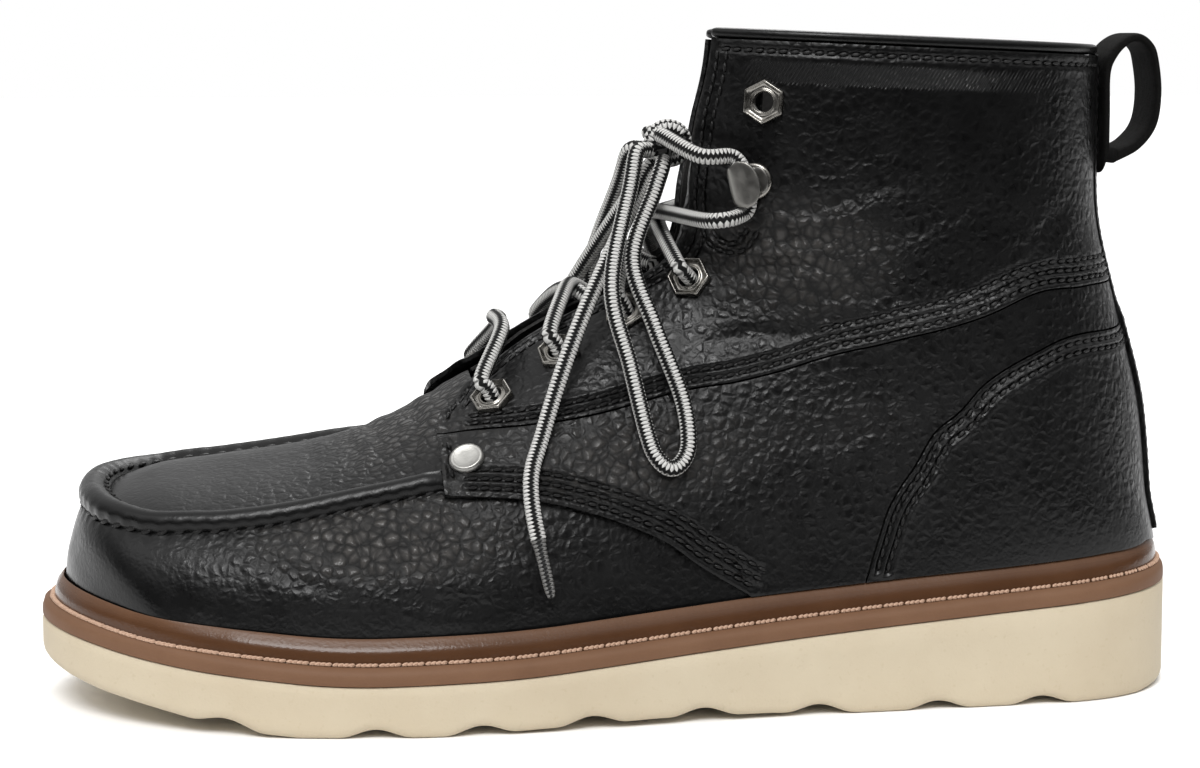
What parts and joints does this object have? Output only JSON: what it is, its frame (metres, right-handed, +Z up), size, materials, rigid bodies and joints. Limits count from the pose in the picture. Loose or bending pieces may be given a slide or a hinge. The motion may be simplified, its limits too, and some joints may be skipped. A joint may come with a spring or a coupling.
{
  "type": "outdoor boot",
  "caption": "Left ankle-high lace-up work boot: black leather upper with a raised toe seam on a brown storm welt and a cream wedge sole with a wavy tread.",
  "frame": {"origin": "on the floor, at the middle of the footprint of the boot", "axes": "+X from toe to heel, so the toe points to -X; +Y to the inner side of the foot; +Z up from the floor"},
  "size_m": [0.3036, 0.1144, 0.177],
  "materials": {
    "leather": "black pebbled leather, semi-gloss",
    "lining": "dark smooth lining leather, matt",
    "welt": "brown moulded storm welt, satin",
    "sole": "cream wedge rubber, matt",
    "nickel": "polished dark nickel",
    "lace": "black braided round cord with a white tracer"
  },
  "bodies": {
    "root": {"outsole": "sole", "insole": "lining", "welt": "welt", "upper": "leather", "tongue": "lining", "collar_binding": "leather", "quarter_lateral": "leather", "quarter_medial": "leather", "shaft_lateral": "leather", "shaft_medial": "leather", "counter": "leather", "backstay": "leather", "pull_loop": "leather", "moc_seam": "leather", "eyelet_lateral_1": "nickel", "eyelet_lateral_2": "nickel", "eyelet_lateral_3": "nickel", "eyelet_lateral_4": "nickel", "eyelet_lateral_5": "nickel", "eyelet_medial_1": "nickel", "eyelet_medial_2": "nickel", "eyelet_medial_3": "nickel", "eyelet_medial_4": "nickel", "eyelet_medial_5": "nickel", "hook_lateral": "nickel", "hook_medial": "nickel", "rivet_lateral": "nickel", "rivet_medial": "nickel", "lace_bar": "lace", "lace_cross_1": "lace", "lace_cross_2": "lace", "lace_cross_3": "lace", "lace_knot": "lace", "lace_loop_lateral": "lace", "lace_loop_medial": "lace", "lace_end_lateral": "lace", "lace_end_medial": "lace"}
  },
  "joints": []
}
